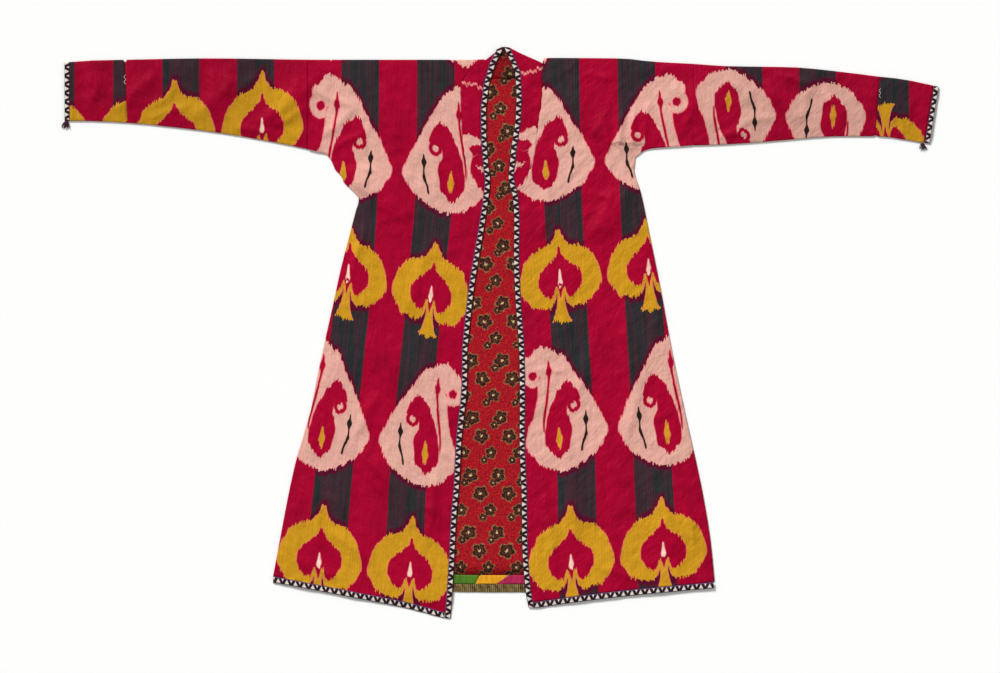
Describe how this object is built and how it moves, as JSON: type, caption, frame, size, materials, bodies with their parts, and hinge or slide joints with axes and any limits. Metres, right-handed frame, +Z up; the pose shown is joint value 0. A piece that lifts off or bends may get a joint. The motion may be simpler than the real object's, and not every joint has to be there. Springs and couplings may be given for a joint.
{
  "type": "central asian silk ikat chapan robe laid flat",
  "caption": "Long open-fronted silk ikat robe with wide straight sleeves and a printed cotton lining, laid flat on its back with its fronts a hand apart.",
  "frame": {"origin": "middle of the underside of the robe's box, on the surface it lies on", "axes": "+X towards the sleeve on the right of someone looking down at it, +Y from the hem to the neck, +Z up from the surface"},
  "size_m": [1.91, 1.247, 0.0098],
  "materials": {
    "silk_ikat": "crimson warp ikat silk with yellow, pink and dark green figures, soft lustre",
    "printed_cotton": "matt red printed cotton with small dark flowers",
    "silk_green": "plain green silk, soft lustre",
    "silk_gold": "plain yellow silk, soft lustre",
    "silk_rose": "plain rose silk, soft lustre",
    "hem_binding": "striped overcast binding in dark, yellow and purple thread",
    "woven_tape": "narrow woven tape with white and dark triangles and purple edges",
    "tassel_thread": "dark and crimson thread ends"
  },
  "bodies": {
    "root": {"body_left": "silk_ikat", "body_right": "silk_ikat", "neck_gore_left": "silk_ikat", "neck_gore_right": "silk_ikat", "collar_back": "silk_ikat", "sleeve_left": "silk_ikat", "sleeve_right": "silk_ikat", "sleeve_end_left": "silk_ikat", "sleeve_end_right": "silk_ikat", "collar_lining": "printed_cotton", "back_lining": "printed_cotton", "hem_facing_green": "silk_green", "hem_facing_gold": "silk_gold", "hem_facing_rose": "silk_rose", "hem_binding_back": "hem_binding", "trim_front_left": "woven_tape", "trim_front_right": "woven_tape", "trim_hem_left": "woven_tape", "trim_hem_right": "woven_tape", "trim_cuff_left": "woven_tape", "trim_cuff_right": "woven_tape", "tassel_left": "tassel_thread", "tassel_right": "tassel_thread"}
  },
  "joints": []
}
